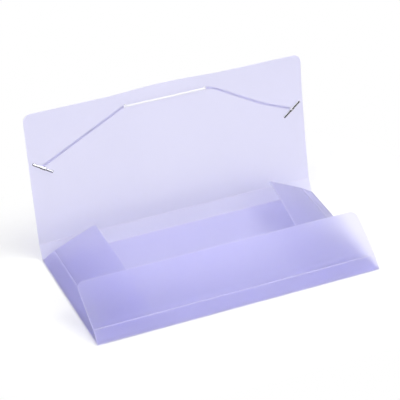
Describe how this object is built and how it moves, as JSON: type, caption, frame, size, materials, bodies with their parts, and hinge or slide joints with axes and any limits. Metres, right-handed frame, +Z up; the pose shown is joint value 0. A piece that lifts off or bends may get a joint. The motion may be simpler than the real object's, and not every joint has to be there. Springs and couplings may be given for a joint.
{
  "type": "flap folder",
  "caption": "Landscape document folder of frosted polypropylene, lying open, with spine, folding flaps and a corner elastic on its cover.",
  "frame": {"origin": "centre of the back panel's underside, on the table", "axes": "+X along the spine, to the right; +Y from the front flap to the spine and cover; +Z up"},
  "size_m": [0.2504, 0.1593, 0.1225],
  "materials": {
    "frosted_sheet": "frosted translucent lavender polypropylene sheet, fine matt grain",
    "elastic": "braided white elastic cord",
    "cord_end_metal": "bright nickel plate"
  },
  "bodies": {
    "back_panel": {"back_panel": "frosted_sheet"},
    "spine_panel": {"spine_panel": "frosted_sheet"},
    "cover_panel": {"cover_panel": "frosted_sheet", "elastic_cord": "elastic"},
    "front_gusset": {"front_gusset": "frosted_sheet"},
    "front_flap": {"front_flap": "frosted_sheet"},
    "left_gusset": {"left_gusset": "frosted_sheet"},
    "left_flap": {"left_flap": "frosted_sheet"},
    "right_gusset": {"right_gusset": "frosted_sheet"},
    "right_flap": {"right_flap": "frosted_sheet"},
    "left_cord_end": {"left_cord_end": "cord_end_metal"},
    "right_cord_end": {"right_cord_end": "cord_end_metal"}
  },
  "joints": [
    {"name": "spine_crease", "type": "hinge", "parent": "back_panel", "child": "spine_panel", "pos_m": [0, 0.0625, 0.0005], "axis": [-1, 0, 0], "range_deg": [-32, 58]},
    {"name": "cover_crease", "type": "hinge", "parent": "spine_panel", "child": "cover_panel", "pos_m": [0, 0.06918, 0.01119], "axis": [-1, 0, 0], "range_deg": [-71.5, 18.4], "deforming": ["left_flap", "right_flap"]},
    {"name": "front_crease", "type": "hinge", "parent": "back_panel", "child": "front_gusset", "pos_m": [0, -0.0625, 0.0005], "axis": [1, 0, 0], "range_deg": [0, 138]},
    {"name": "front_flap_crease", "type": "hinge", "parent": "front_gusset", "child": "front_flap", "pos_m": [0, -0.05328, 0.0088], "axis": [1, 0, 0], "range_deg": [-29.5, 12.3]},
    {"name": "left_crease", "type": "hinge", "parent": "back_panel", "child": "left_gusset", "pos_m": [-0.125, 0, 0.0005], "axis": [0, -1, 0], "range_deg": [0, 147]},
    {"name": "left_flap_crease", "type": "hinge", "parent": "left_gusset", "child": "left_flap", "pos_m": [-0.11477, 0, 0.00715], "axis": [0, -1, 0], "range_deg": [-11, 3]},
    {"name": "right_crease", "type": "hinge", "parent": "back_panel", "child": "right_gusset", "pos_m": [0.125, 0, 0.0005], "axis": [0, 1, 0], "range_deg": [0, 147]},
    {"name": "right_flap_crease", "type": "hinge", "parent": "right_gusset", "child": "right_flap", "pos_m": [0.11477, 0, 0.00715], "axis": [0, 1, 0], "range_deg": [-11, 3]},
    {"name": "left_cord_end_swivel", "type": "hinge", "parent": "cover_panel", "child": "left_cord_end", "pos_m": [-0.1135, 0.08311, 0.07623], "axis": [0, -0.972, 0.2351], "range_deg": [-90, 90]},
    {"name": "right_cord_end_swivel", "type": "hinge", "parent": "cover_panel", "child": "right_cord_end", "pos_m": [0.1135, 0.08311, 0.07623], "axis": [0, -0.972, 0.2351], "range_deg": [-90, 90]}
  ]
}
